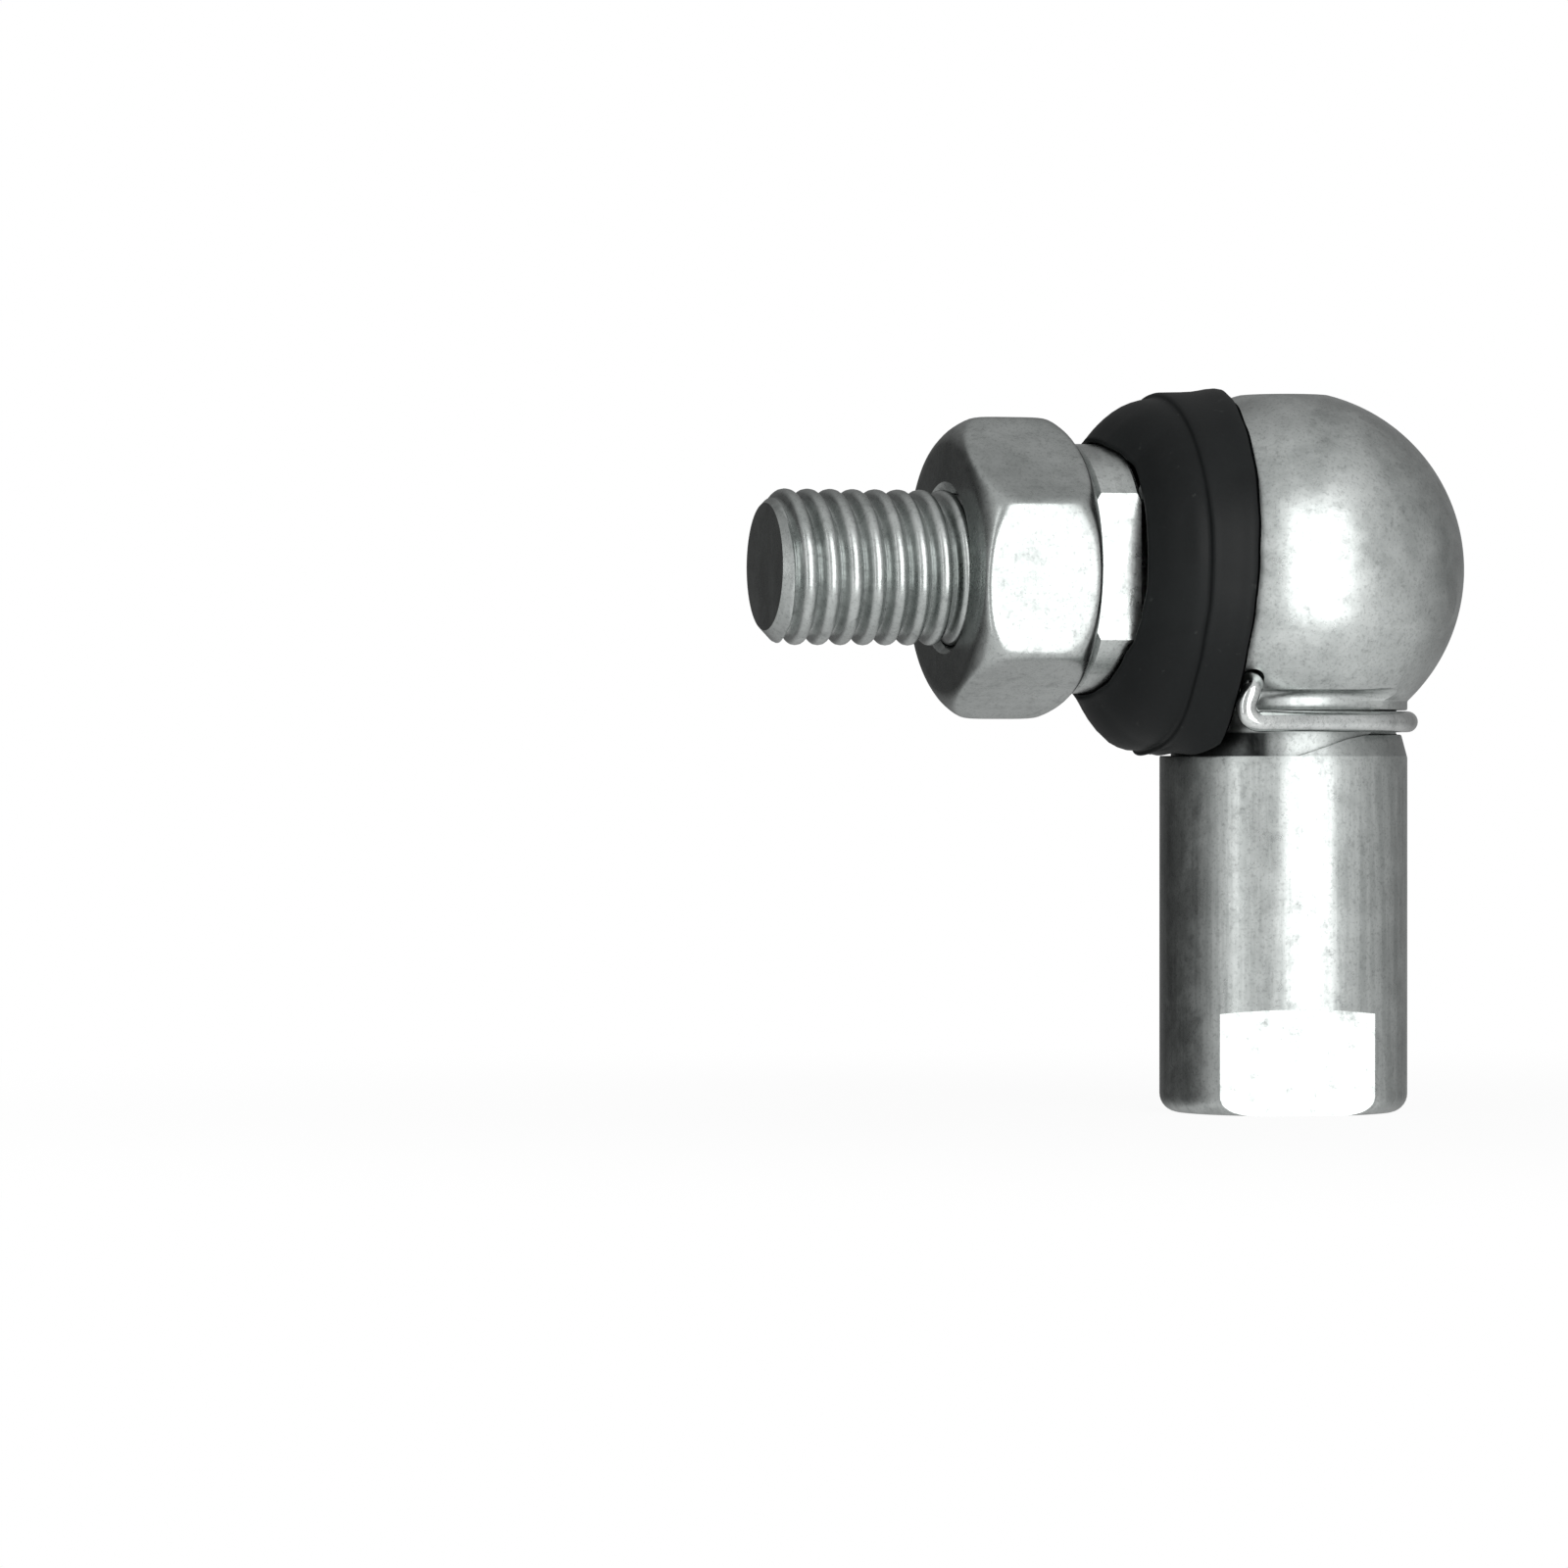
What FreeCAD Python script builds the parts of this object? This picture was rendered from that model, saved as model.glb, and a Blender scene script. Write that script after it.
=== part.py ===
import FreeCAD, Part
import math
import os
import Sketcher

# Angle ball joint: a socket housing on a tapped neck, a ball stud held in it by a wire clip,
# a hexagon nut on the stud and a rubber boot over the mouth of the socket.
# Frame: +Z up along the neck, origin in the middle of the neck's end face, the ball's centre
# straight above it, and the stud along -X. Each body is drawn with its own +X along the stud
# and is then turned half round about Z.

SIZES = [
    ("ball_radius", 8.0, "ball of the stud"),
    ("socket_play", 0.05, "radial gap between ball and socket"),
    ("head_wall", 3.6, "wall of the head behind the ball"),
    ("crown_cut", 0.37, "depth of the turned flat on the crown"),
    ("crown_fillet", 0.3, "edge of that flat"),
    ("mouth_bevel", 0.4, "bevel of the mouth's inner edge"),
    ("mouth_rim", 0.38, "flat rim outside that bevel"),
    ("skirt_band", 0.58, "upright band at the lower edge of the head, as wide as the neck"),
    ("neck_reach", 35.0, "end face of the neck to the ball's centre"),
    ("neck_radius", 8.0, "neck"),
    ("neck_edge", 1.2, "rounding of the neck's end"),
    ("waist_cut", 0.725, "groove between head and neck, where the clip lies"),
    ("shoulder_gap", 0.15, "from the clip down to the neck's shoulder"),
    ("shoulder_inset", 0.4, "bevel of the shoulder, across"),
    ("shoulder_bevel", 1.5, "bevel of the shoulder, along the neck"),
    ("key_width", 12.5, "across the two flats of the neck"),
    ("key_height", 6.85, "flats of the neck, up from its end"),
    ("key_arch", 37.0, "radius of the cutter's run-out above the flats"),
    ("key_turn", 12.0, "near flat turned towards the stud, degrees"),
    ("rod_core_radius", 4.25, "tapped hole in the neck, at the thread's core"),
    ("rod_hole_depth", 20.0, "tapped hole in the neck"),
    ("rod_sink_radius", 5.05, "bevelled mouth of the tapped hole"),
    ("rod_sink_angle", 120.0, "angle of that bevel, degrees"),
    ("drill_point", 118.0, "angle of the tapped hole's drilled end, degrees"),
    ("shank_radius", 4.5, "shank between ball and collar"),
    ("root_fillet", 0.5, "rounding where the shank leaves the ball"),
    ("collar_start", 12.0, "back of the collar, from the ball's centre"),
    ("collar_length", 3.0, "collar along the stud"),
    ("collar_radius", 8.0, "collar"),
    ("collar_bevel", 0.3, "edges of the collar"),
    ("collar_key", 13.0, "across the two flats of the collar"),
    ("thread_radius", 5.0, "outside of the stud's thread"),
    ("thread_length", 20.0, "threaded end of the stud"),
    ("thread_pitch", 1.5, "thread of the stud, from one turn to the next"),
    ("thread_depth", 0.92, "thread of the stud, from its outside to its core"),
    ("thread_floor", 0.25, "flat floor between two turns of the thread"),
    ("thread_angle", 60.0, "angle between the flanks of the thread, degrees"),
    ("thread_bevel", 0.9, "bevelled end of the stud"),
    ("nut_key", 17.0, "across the flats of the nut"),
    ("nut_height", 8.0, "nut along the stud"),
    ("nut_play", 0.05, "gap between nut and stud, and between nut and collar"),
    ("nut_face_radius", 7.75, "round face left by the nut's corner bevel"),
    ("nut_bevel_angle", 40.0, "corner bevel of the nut, degrees"),
    ("nut_turn", 6.2, "nut turned on the stud, its near side downwards, degrees"),
    ("nut_sink", 0.45, "bevel of the nut's hole"),
    ("wire_radius", 0.675, "wire of the clip"),
    ("wire_play", 0.075, "gap round the wire in its holes and under the head"),
    ("waist_play", 0.05, "gap between the wire and the waist"),
    ("ball_hold", 0.15, "gap between the ball and the wire that holds it"),
    ("wire_step", 2.57, "straight leg of the wire, over its wrap round the waist"),
    ("wire_stand", 8.6, "from the middle plane to where the wire turns down, near side"),
    ("wire_bend", 1.1, "bends of the wire"),
    ("hook_stand", 9.4, "from the middle plane to the hook, far side"),
    ("hook_length", 3.6, "hook down beside the neck"),
    ("wrap_end", 75.0, "end of the wire round the neck, degrees past the back"),
    ("channel_radius", 0.85, "channel in the head that leads the wire to the waist"),
    ("channel_bite", 0.1, "channel cut deeper than the waist"),
    ("boot_gap", 0.1, "gap between the boot and what it sits on"),
    ("seat_relief", 0.02, "band turned down to this over the head's sphere under the boot"),
    ("boot_back", 4.45, "back edge of the boot, in front of the ball's centre"),
    ("boot_edge", 0.45, "thickness of the boot's back edge"),
    ("bead_place", 1.25, "crest of the boot's bead, in front of its back edge"),
    ("bead_rise", 0.05, "crest of the boot's bead, over the head's radius"),
    ("belt_overlap", 0.9, "front of the boot's belt, in front of the mouth"),
    ("belt_drop", 0.2, "belt of the boot, under the head's radius"),
    ("crease_width", 0.3, "crease between belt and dome, along the stud"),
    ("crease_depth", 0.5, "crease between belt and dome, across"),
    ("dome_round", 4.0, "dome of the boot, in section"),
    ("lip_reach", 1.4, "front of the boot's lip, over the collar"),
    ("lip_width", 0.45, "thickness of the lip"),
    ("boot_wall", 1.4, "wall of the boot's belt"),
    ("notch_clearance", 0.42, "gap between the wire and the boot, which is cut away round it"),
    ("neck_clearance", 0.25, "gap between the boot and the neck"),
]

doc = FreeCAD.newDocument("angle_ball_joint")
sheet = doc.addObject("Spreadsheet::Sheet", "sizes")
for row, (alias, value, note) in enumerate(SIZES, start=1):
    sheet.set(f"A{row}", note)
    sheet.set(f"B{row}", str(value))
    sheet.setAlias(f"B{row}", alias)
doc.recompute()

# Sizes that follow from the ones above, as expressions
HEAD_RADIUS = "(sizes.ball_radius + sizes.socket_play + sizes.head_wall)"
SOCKET_RADIUS = "(sizes.ball_radius + sizes.socket_play)"
RIM_RADIUS = f"({SOCKET_RADIUS} + sizes.mouth_bevel + sizes.mouth_rim)"
MOUTH = f"sqrt({HEAD_RADIUS} ^ 2 - {RIM_RADIUS} ^ 2)"
CROWN_HEIGHT = f"({HEAD_RADIUS} - sizes.crown_cut)"
BAND_DROP = f"sqrt({HEAD_RADIUS} ^ 2 - sizes.neck_radius ^ 2)"
SKIRT_DROP = f"({BAND_DROP} + sizes.skirt_band)"
WAIST_RADIUS = "(sizes.neck_radius - sizes.waist_cut)"
WRAP_DROP = f"({SKIRT_DROP} + sizes.wire_radius + sizes.wire_play)"
WIRE_DROP = f"({WRAP_DROP} - sizes.wire_step)"
WIRE_OFFSET = "(sizes.ball_radius + sizes.ball_hold + sizes.wire_radius)"
WIRE_FRONT = f"sqrt({WIRE_OFFSET} ^ 2 - {WIRE_DROP} ^ 2)"
WIRE_CLEAR = "(sizes.wire_radius + sizes.notch_clearance)"
WRAP_RADIUS = f"({WAIST_RADIUS} + sizes.waist_play + sizes.wire_radius)"
SHOULDER_DROP = f"({WRAP_DROP} + sizes.wire_radius + sizes.shoulder_gap)"
COLLAR_END = "(sizes.collar_start + sizes.collar_length)"
STUD_END = f"({COLLAR_END} + sizes.thread_length)"
BOOT_SEAT = f"({HEAD_RADIUS} + sizes.boot_gap)"
BOOT_BORE = "(sizes.collar_radius + sizes.boot_gap)"
BELT_RADIUS = f"({HEAD_RADIUS} - sizes.belt_drop)"
BELT_FRONT = f"({MOUTH} + sizes.belt_overlap)"
BOOT_FRONT = "(sizes.collar_start + sizes.lip_reach)"


class Arc:
    """A round edge of a profile: about a centre, or between held corners by its radius."""

    def __init__(self, centre=None, radius=None, clockwise=False):
        self.centre = centre
        self.radius = radius
        self.clockwise = clockwise


def worked_out(item, expression):
    """The value that an expression on the sheet has now."""
    result = item.evalExpression(expression.lstrip("~"))
    return float(getattr(result, "Value", result))


def plane_of(body, role):
    return next(datum for datum in body.Origin.OriginFeatures if datum.Role == role)


def new_body(label):
    """A body with its own +X along the stud."""
    body = doc.addObject("PartDesign::Body", label)
    body.Label = label
    half_turn = FreeCAD.Rotation(FreeCAD.Vector(0, 0, 1), 180)
    body.Placement = FreeCAD.Placement(FreeCAD.Vector(), half_turn)
    return body


def new_sketch(body, name, role, **offsets):
    """A sketch on a plane of the body, moved by expressions for x, y or z of that plane."""
    sketch = body.newObject("Sketcher::SketchObject", name)
    sketch.AttachmentSupport = [(plane_of(body, role), "")]
    sketch.MapMode = "FlatFace"
    sketch.Visibility = False
    for axis, expression in offsets.items():
        sketch.setExpression(f"AttachmentOffset.Base.{axis}", expression)
    return sketch


def hold(sketch, kind, places, expression):
    """A dimension of a sketch, driven by the sheet."""
    value = worked_out(sketch, expression)
    number = sketch.addConstraint(Sketcher.Constraint(kind, *places, value))
    sketch.setExpression(f"Constraints[{number}]", expression)


def hold_point(sketch, place, x, y, skip=()):
    """Holds a point by its coordinates. A leading ~ leaves one to the edges that meet there."""
    for text, axis, kind in ((x, -2, "DistanceX"), (y, -1, "DistanceY")):
        if text.startswith("~") or kind in skip:
            continue
        if text == "0":
            sketch.addConstraint(Sketcher.Constraint("PointOnObject", *place, axis))
        else:
            hold(sketch, kind, (-1, 1, *place), text)


def arc_centre(sketch, edge, start, end):
    """The centre of a round edge, which lies on the left of one that runs counter-clockwise."""
    if edge.centre:
        return FreeCAD.Vector(*(worked_out(sketch, text) for text in edge.centre), 0)
    radius = worked_out(sketch, edge.radius)
    chord = end - start
    left = FreeCAD.Vector(-chord.y, chord.x, 0).normalize()
    away = math.sqrt(radius ** 2 - chord.Length ** 2 / 4)
    return (start + end) / 2 + left * (-away if edge.clockwise else away)


def outline(sketch, corners):
    """Draws a closed chain of corners (x, y, round edge that leaves it) and holds them."""
    corners = [(*corner, None)[:3] for corner in corners]
    points = [FreeCAD.Vector(worked_out(sketch, x), worked_out(sketch, y), 0) for x, y, _ in corners]
    ends = []
    for number, (_, _, edge) in enumerate(corners):
        start, end = points[number], points[(number + 1) % len(points)]
        if edge:
            centre = arc_centre(sketch, edge, start, end)
            first, last = (end, start) if edge.clockwise else (start, end)
            circle = Part.Circle(centre, FreeCAD.Vector(0, 0, 1), (start - centre).Length)
            shape = Part.ArcOfCircle(circle, circle.parameter(first), circle.parameter(last))
            places = (2, 1) if edge.clockwise else (1, 2)
        else:
            shape = Part.LineSegment(start, end)
            places = (1, 2)
        ends.append((sketch.addGeometry(shape, False), *places))
    for number, (x, y, _) in enumerate(corners):
        geometry, start, _ = ends[number]
        before, _, before_end = ends[number - 1]
        old_x, old_y, old_edge = corners[number - 1]
        sketch.addConstraint(Sketcher.Constraint("Coincident", before, before_end, geometry, start))
        skip = []
        if number > 0 and not old_edge:
            if x == old_x and x != "0":
                sketch.addConstraint(Sketcher.Constraint("Vertical", before))
                skip.append("DistanceX")
            if y == old_y and y != "0":
                sketch.addConstraint(Sketcher.Constraint("Horizontal", before))
                skip.append("DistanceY")
        hold_point(sketch, (geometry, start), x, y, skip)
    for (geometry, _, _), (_, _, edge) in zip(ends, corners):
        if edge and edge.centre == ("0", "0"):
            sketch.addConstraint(Sketcher.Constraint("Coincident", geometry, 3, -1, 1))
        elif edge and edge.centre:
            hold_point(sketch, (geometry, 3), *edge.centre)
        if edge and edge.radius:
            hold(sketch, "Radius", (geometry,), edge.radius)


def circle_at(sketch, x, y, radius):
    """A circle held by its centre and radius."""
    middle = FreeCAD.Vector(worked_out(sketch, x), worked_out(sketch, y), 0)
    shape = Part.Circle(middle, FreeCAD.Vector(0, 0, 1), worked_out(sketch, radius))
    geometry = sketch.addGeometry(shape, False)
    hold_point(sketch, (geometry, 3), x, y)
    hold(sketch, "Radius", (geometry,), radius)


def feature(body, kind, name, profile=None, expressions=(), **settings):
    """A step of a body, with its settings and the expressions that drive it."""
    step = body.newObject(f"PartDesign::{kind}", name)
    if profile:
        step.Profile = profile
    for key, value in settings.items():
        setattr(step, key, value)
    for key, expression in dict(expressions).items():
        step.setExpression(key, expression)
    return step


def cut_through(body, name, profile, both_ways=True):
    """A pocket right through the body, both ways from its sketch or away from its normal."""
    return feature(body, "Pocket", name, profile, Type="ThroughAll",
                   SideType="Symmetric" if both_ways else "One side")


def copied_round(body, name, original, axis, count):
    """A step repeated evenly about an axis of the body, which becomes the body's tip."""
    body.Tip = feature(body, "PolarPattern", name, Originals=[original], Angle=360,
                       Axis=(plane_of(body, axis), [""]), Occurrences=count)


def copied_along(body, name, original, axis, spacing, count):
    """A step repeated along an axis of the body, which becomes the body's tip."""
    body.Tip = feature(body, "LinearPattern", name, None, {"Offset": spacing, "Occurrences": count},
                       Originals=[original], Mode="Spacing", Direction=(plane_of(body, axis), [""]))


def ring_edges(step, rings):
    """Names of the round edges about the stud or the neck at (centre, radius)."""
    names = []
    for number, edge in enumerate(step.Shape.Edges, start=1):
        if edge.Degenerated or not isinstance(edge.Curve, Part.Circle):
            continue
        for centre, radius in rings:
            apart = (edge.Curve.Center - FreeCAD.Vector(*centre)).Length
            if apart < 1e-4 and abs(edge.Curve.Radius - radius) < 1e-4:
                names.append(f"Edge{number}")
    return names


def socket_housing():
    """Head, neck and tapped hole, turned from one piece, with the ball's socket bored from the side."""
    body = new_body("socket_housing")
    neck_side = f"(sizes.neck_reach - {SHOULDER_DROP} - sizes.shoulder_bevel)"
    shoulder = f"(sizes.neck_reach - {SHOULDER_DROP})"
    skirt = f"(sizes.neck_reach - {SKIRT_DROP})"
    crown = f"(sizes.neck_reach + {CROWN_HEIGHT})"
    form = new_sketch(body, "head_and_neck", "XZ_Plane")
    outline(form, [
        ("0", "0"),
        ("sizes.neck_radius - sizes.neck_edge", "0", Arc(radius="sizes.neck_edge")),
        ("sizes.neck_radius", "sizes.neck_edge"),
        ("sizes.neck_radius", neck_side),
        ("sizes.neck_radius - sizes.shoulder_inset", shoulder),
        (WAIST_RADIUS, shoulder),
        (WAIST_RADIUS, skirt),
        ("sizes.neck_radius", skirt),
        ("sizes.neck_radius", f"~sizes.neck_reach - {BAND_DROP}",
         Arc(centre=("0", "sizes.neck_reach"), radius=HEAD_RADIUS)),
        (f"~sqrt({HEAD_RADIUS} ^ 2 - {CROWN_HEIGHT} ^ 2)", crown),
        ("0", crown),
    ])
    feature(body, "Revolution", "turned_form", form, ReferenceAxis=(form, ["V_Axis"]), Angle=360)

    # Socket with a round bottom, open towards the stud, and the flat face of its mouth
    beyond = f"({HEAD_RADIUS} + 1)"
    face = f"({RIM_RADIUS} + sizes.mouth_bevel)"
    bore = new_sketch(body, "socket_bore", "XZ_Plane", y="sizes.neck_reach")
    outline(bore, [
        (f"~-{SOCKET_RADIUS}", "0"),
        (beyond, "0"),
        (beyond, face),
        (MOUTH, face),
        (MOUTH, f"{SOCKET_RADIUS} + sizes.mouth_bevel"),
        (f"{MOUTH} - sizes.mouth_bevel", SOCKET_RADIUS),
        ("0", SOCKET_RADIUS, Arc(centre=("0", "0"))),
    ])
    feature(body, "Groove", "socket", bore, ReferenceAxis=(bore, ["H_Axis"]), Angle=360)

    # Band turned back to the head's sphere where the boot sits on it
    seat_back = f"({WIRE_FRONT} + sizes.wire_radius)"
    seat_radius = f"({HEAD_RADIUS} + sizes.seat_relief)"
    seat_top = f"sqrt(({HEAD_RADIUS} + sizes.skirt_band) ^ 2 - {seat_back} ^ 2)"
    seat_front = f"({MOUTH} + sizes.mouth_bevel)"
    seat = new_sketch(body, "boot_seat_profile", "XZ_Plane", y="sizes.neck_reach")
    outline(seat, [
        (seat_back, f"~sqrt({seat_radius} ^ 2 - {seat_back} ^ 2)",
         Arc(centre=("0", "0"), radius=seat_radius, clockwise=True)),
        (seat_front, f"~sqrt({seat_radius} ^ 2 - {seat_front} ^ 2)"),
        (seat_front, seat_top),
        (seat_back, seat_top),
    ])
    feature(body, "Groove", "boot_seat", seat, ReferenceAxis=(seat, ["H_Axis"]), Angle=360)

    # Cross hole of the clip's straight leg
    leg = new_sketch(body, "leg_hole_profile", "XZ_Plane", y="sizes.neck_reach")
    circle_at(leg, WIRE_FRONT, f"-{WIRE_DROP}", "sizes.wire_radius + sizes.wire_play")
    cut_through(body, "leg_hole", leg)

    # Channel that leads the wire from its hole down to the waist, on the near side
    level = f"({WRAP_DROP} - sizes.channel_radius + sizes.wire_radius)"
    stand = f"({WAIST_RADIUS} + sizes.channel_radius - sizes.channel_bite)"
    line = new_sketch(body, "channel_line", "XZ_Plane", y="sizes.neck_reach", z=f"-{stand}")
    start = FreeCAD.Vector(worked_out(line, WIRE_FRONT), -worked_out(line, WIRE_DROP), 0)
    end = FreeCAD.Vector(0, -worked_out(line, level), 0)
    fall = start.y - end.y
    bend = (start.x ** 2 + fall ** 2) / (4 * fall)
    halfway = (start + end) / 2
    upper = Part.Circle(start - FreeCAD.Vector(0, bend, 0), FreeCAD.Vector(0, 0, 1), bend)
    lower = Part.Circle(end + FreeCAD.Vector(0, bend, 0), FreeCAD.Vector(0, 0, 1), bend)
    first = line.addGeometry(
        Part.ArcOfCircle(upper, upper.parameter(start), upper.parameter(halfway)), False)
    second = line.addGeometry(
        Part.ArcOfCircle(lower, lower.parameter(end), lower.parameter(halfway)), False)
    line.addConstraint(Sketcher.Constraint("Tangent", first, 2, second, 2))
    hold_point(line, (first, 1), WIRE_FRONT, f"-{WIRE_DROP}")
    hold_point(line, (second, 1), "0", f"-{level}")
    line.addConstraint(Sketcher.Constraint("Vertical", first, 3, first, 1))
    line.addConstraint(Sketcher.Constraint("PointOnObject", second, 3, -2))
    line.addConstraint(Sketcher.Constraint("Equal", first, second))
    section = new_sketch(body, "channel_section", "YZ_Plane", z=WIRE_FRONT)
    circle_at(section, stand, f"sizes.neck_reach - {WIRE_DROP}", "sizes.channel_radius")
    feature(body, "SubtractivePipe", "channel", section, Spine=(line, ["Edge1", "Edge2"]))

    # Tapped hole in the neck, drawn at the core of its thread
    rod = new_sketch(body, "rod_hole_profile", "XY_Plane")
    circle_at(rod, "0", "0", "sizes.rod_core_radius")
    doc.recompute()
    feature(body, "Hole", "rod_hole", rod, {
        "Diameter": "2 * sizes.rod_core_radius",
        "Depth": "sizes.rod_hole_depth",
        "DrillPointAngle": "sizes.drill_point * 1 deg",
        "HoleCutDiameter": "2 * sizes.rod_sink_radius",
        "HoleCutCountersinkAngle": "sizes.rod_sink_angle * 1 deg",
    }, Reversed=True, DepthType="Dimension", DrillPoint="Angled", HoleCutType="Countersink")

    # Two wrench flats at the neck's end, with the arch that the cutter leaves above them
    flat = new_sketch(body, "key_flat_profile", "XZ_Plane")
    turned = FreeCAD.Rotation(FreeCAD.Vector(0, -1, 0), worked_out(flat, "sizes.key_turn"))
    flat.AttachmentOffset = FreeCAD.Placement(FreeCAD.Vector(), turned)
    flat.setExpression("AttachmentOffset.Rotation.Angle", "sizes.key_turn * 1 deg")
    flat.setExpression("AttachmentOffset.Base.x", "sizes.key_width / 2 * sin(sizes.key_turn * 1 deg)")
    flat.setExpression("AttachmentOffset.Base.z", "-sizes.key_width / 2 * cos(sizes.key_turn * 1 deg)")
    side = "(sizes.neck_radius + 1)"
    spring = f"(sizes.key_height - sizes.key_arch + sqrt(sizes.key_arch ^ 2 - {side} ^ 2))"
    outline(flat, [
        (f"-{side}", "-sizes.neck_edge"),
        (side, "-sizes.neck_edge"),
        (side, spring, Arc(radius="sizes.key_arch")),
        (f"-{side}", spring),
    ])
    copied_round(body, "key_flats", cut_through(body, "key_flat", flat, both_ways=False), "Z_Axis", 2)

    doc.recompute()
    reach = worked_out(flat, "sizes.neck_reach")
    height = worked_out(flat, CROWN_HEIGHT)
    radius = math.sqrt(worked_out(flat, HEAD_RADIUS) ** 2 - height ** 2)
    edges = ring_edges(body.Tip, [((0, 0, reach + height), radius)])
    feature(body, "Fillet", "crown_round", None, {"Radius": "sizes.crown_fillet"},
            Base=(body.Tip, edges))
    return body


def ball_stud():
    """Ball, shank, collar with two flats and threaded end, turned from one piece."""
    body = new_body("ball_stud")
    body.setExpression("Placement.Base.z", "sizes.neck_reach")
    bevelled_end = f"({STUD_END} - sizes.thread_bevel)"
    collar_edge = "(sizes.collar_radius - sizes.collar_bevel)"
    form = new_sketch(body, "stud_profile", "XZ_Plane")
    outline(form, [
        ("-sizes.ball_radius", "0"),
        (STUD_END, "0"),
        (STUD_END, "sizes.thread_radius - sizes.thread_bevel"),
        (bevelled_end, "sizes.thread_radius"),
        (COLLAR_END, "sizes.thread_radius"),
        (COLLAR_END, collar_edge),
        (f"{COLLAR_END} - sizes.collar_bevel", "sizes.collar_radius"),
        ("sizes.collar_start + sizes.collar_bevel", "sizes.collar_radius"),
        ("sizes.collar_start", collar_edge),
        ("sizes.collar_start", "sizes.shank_radius"),
        ("~sqrt(sizes.ball_radius ^ 2 - sizes.shank_radius ^ 2)", "sizes.shank_radius",
         Arc(centre=("0", "0"))),
    ])
    turned = feature(body, "Revolution", "turned_form", form, ReferenceAxis=(form, ["H_Axis"]), Angle=360)

    doc.recompute()
    ball = worked_out(form, "sizes.ball_radius")
    shank = worked_out(form, "sizes.shank_radius")
    root = ring_edges(turned, [((math.sqrt(ball ** 2 - shank ** 2), 0, 0), shank)])
    feature(body, "Fillet", "root_round", None, {"Radius": "sizes.root_fillet"}, Base=(turned, root))

    # Flats of the collar, cut from side to side
    behind = "((sizes.ball_radius + sizes.collar_start) / 2)"
    ahead = f"({COLLAR_END} + sizes.collar_length)"
    beside = "(sizes.collar_radius + 1)"
    flat = new_sketch(body, "collar_flat_profile", "XY_Plane")
    outline(flat, [
        (behind, "sizes.collar_key / 2"),
        (ahead, "sizes.collar_key / 2"),
        (ahead, beside),
        (behind, beside),
    ])
    copied_round(body, "collar_flats", cut_through(body, "collar_flat", flat), "X_Axis", 2)

    # Thread, shown as rings one pitch apart
    first = f"({COLLAR_END} + 3 / 4 * sizes.thread_pitch)"
    core = "(sizes.thread_radius - sizes.thread_depth)"
    over = "(sizes.thread_radius + sizes.nut_play)"
    mouth = f"(sizes.thread_floor / 2 + ({over} - {core}) * tan(sizes.thread_angle / 2 * 1 deg))"
    turns = "floor((sizes.thread_length - sizes.thread_bevel) / sizes.thread_pitch)"
    ring = new_sketch(body, "thread_profile", "XZ_Plane")
    outline(ring, [
        (f"{first} - sizes.thread_floor / 2", core),
        (f"{first} + sizes.thread_floor / 2", core),
        (f"{first} + {mouth}", over),
        (f"{first} - {mouth}", over),
    ])
    groove = feature(body, "Groove", "thread_ring", ring, ReferenceAxis=(ring, ["H_Axis"]), Angle=360)
    copied_along(body, "thread_rings", groove, "X_Axis", "sizes.thread_pitch", turns)
    return body


def hex_nut():
    """Hexagon nut with bevelled corners on both faces, seated against the collar."""
    body = new_body("hex_nut")
    body.setExpression("Placement.Base.x", f"-({COLLAR_END} + sizes.nut_play)")
    body.setExpression("Placement.Base.z", "sizes.neck_reach")
    across, up = "(sizes.nut_key / 2)", "(sizes.nut_key / sqrt(12))"
    corner = "(sizes.nut_key / sqrt(3))"
    hexagon = new_sketch(body, "hexagon", "YZ_Plane")
    turned = FreeCAD.Rotation(FreeCAD.Vector(0, 0, -1), worked_out(hexagon, "sizes.nut_turn"))
    hexagon.AttachmentOffset = FreeCAD.Placement(FreeCAD.Vector(), turned)
    hexagon.setExpression("AttachmentOffset.Rotation.Angle", "sizes.nut_turn * 1 deg")
    outline(hexagon, [
        (across, f"-{up}"),
        (across, up),
        ("0", corner),
        (f"-{across}", up),
        (f"-{across}", f"-{up}"),
        ("0", f"-{corner}"),
    ])
    feature(body, "Pad", "blank", hexagon, {"Length": "sizes.nut_height"})

    over = f"({corner} + 1)"
    fall = f"(({over} - sizes.nut_face_radius) * tan(sizes.nut_bevel_angle * 1 deg))"
    bevels = new_sketch(body, "corner_bevel_profile", "XZ_Plane")
    outline(bevels, [
        ("0", "sizes.nut_face_radius"),
        (fall, over),
        ("0", over),
    ])
    outline(bevels, [
        ("sizes.nut_height", "sizes.nut_face_radius"),
        ("sizes.nut_height", over),
        (f"sizes.nut_height - {fall}", over),
    ])
    feature(body, "Groove", "corner_bevels", bevels, ReferenceAxis=(bevels, ["H_Axis"]), Angle=360)

    hole = new_sketch(body, "nut_hole_profile", "YZ_Plane")
    bore = "sizes.thread_radius + sizes.nut_play"
    circle_at(hole, "0", "0", bore)
    drilled = cut_through(body, "nut_hole", hole)
    doc.recompute()
    radius = worked_out(hole, bore)
    height = worked_out(hole, "sizes.nut_height")
    mouths = ring_edges(drilled, [((0, 0, 0), radius), ((height, 0, 0), radius)])
    feature(body, "Chamfer", "hole_bevels", None, {"Size": "sizes.nut_sink"}, Base=(drilled, mouths))
    return body


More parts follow.
